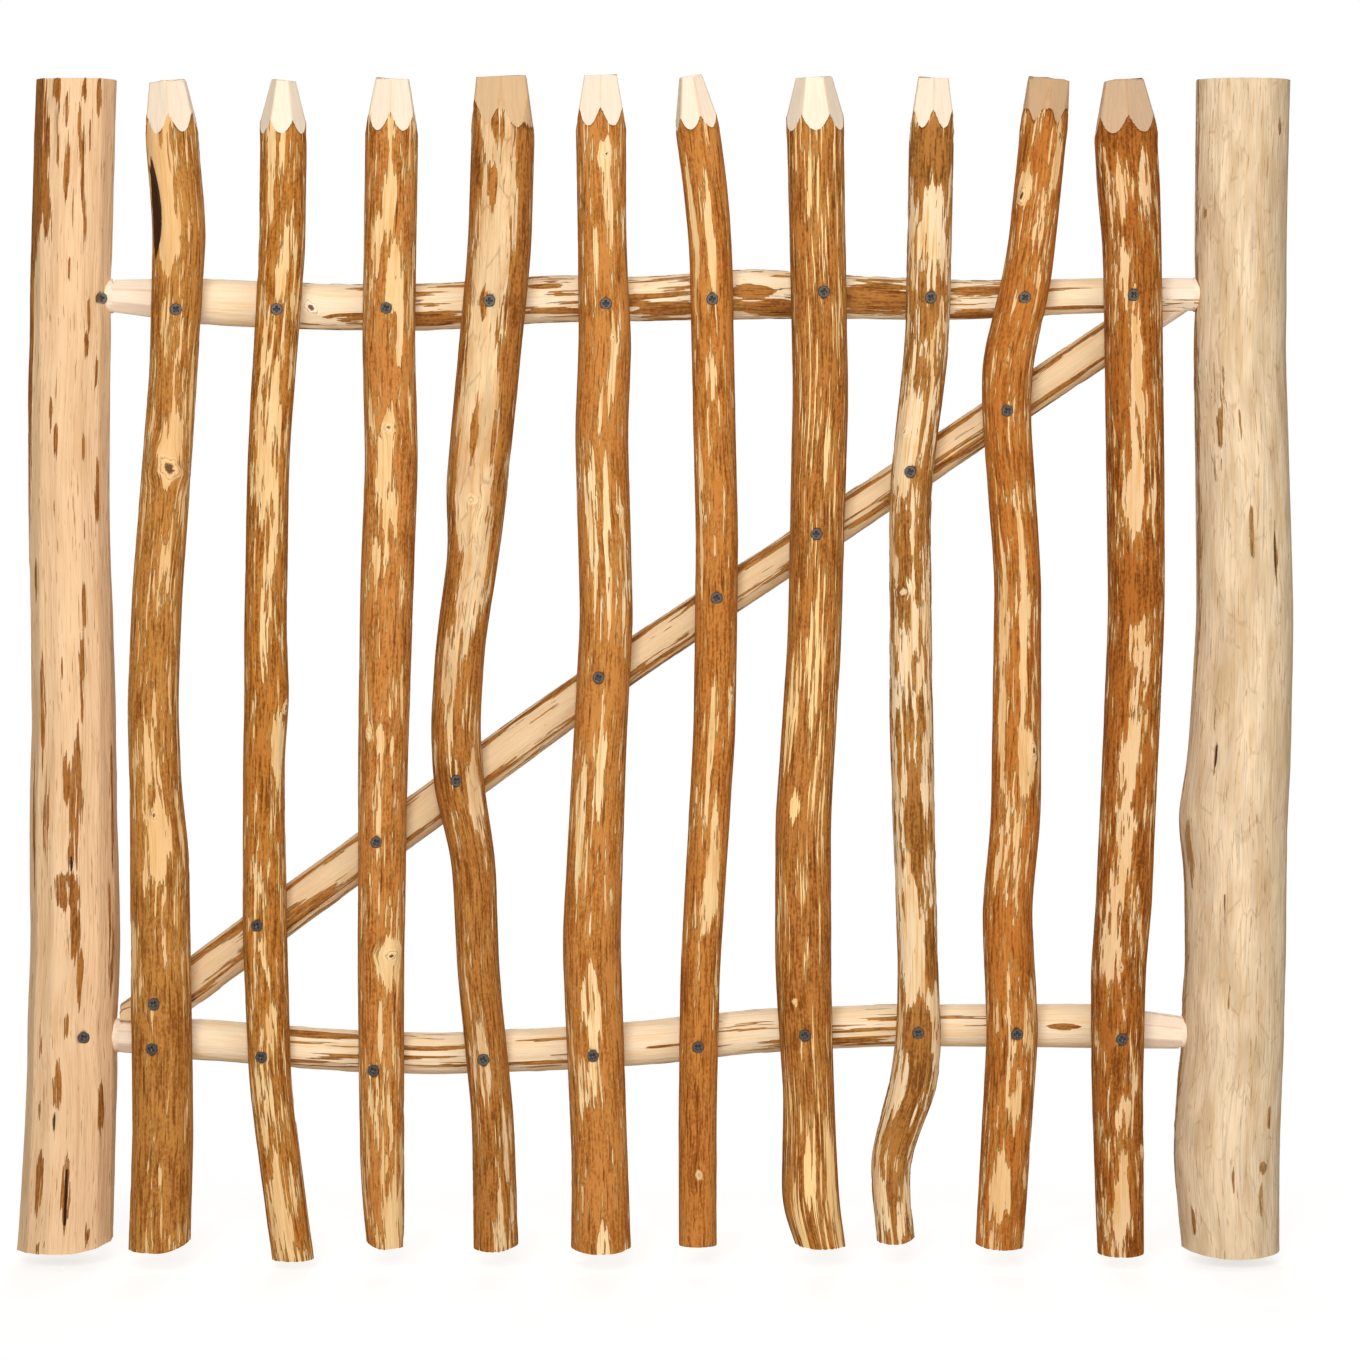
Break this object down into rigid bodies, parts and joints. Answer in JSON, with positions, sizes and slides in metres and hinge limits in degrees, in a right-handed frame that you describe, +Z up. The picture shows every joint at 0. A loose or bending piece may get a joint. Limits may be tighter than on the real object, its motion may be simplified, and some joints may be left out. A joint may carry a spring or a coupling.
{
  "type": "garden gate",
  "caption": "Open garden gate leaf of crooked round hazel pickets on tenoned rails and a diagonal brace, held between stout peeled end posts.",
  "frame": {"origin": "middle of the left post's sawn foot, the face the gate is held by", "axes": "+X along the rails to the right post, +Y to the back, pickets on the -Y side, +Z up"},
  "size_m": [1.005, 0.1102, 0.9262],
  "materials": {
    "peeled_post": "peeled, dry",
    "weathered_post": "peeled, weathered",
    "rail_hazel": "half peeled",
    "bark_hazel": "bark with peeled streaks"
  },
  "bodies": {
    "root": {"left_post": "peeled_post", "right_post": "weathered_post", "top_rail": "rail_hazel", "bottom_rail": "rail_hazel", "brace": "rail_hazel", "picket_01": "bark_hazel", "picket_02": "bark_hazel", "picket_03": "bark_hazel", "picket_04": "bark_hazel", "picket_05": "bark_hazel", "picket_06": "bark_hazel", "picket_07": "bark_hazel", "picket_08": "bark_hazel", "picket_09": "bark_hazel", "picket_10": "bark_hazel"}
  },
  "joints": []
}
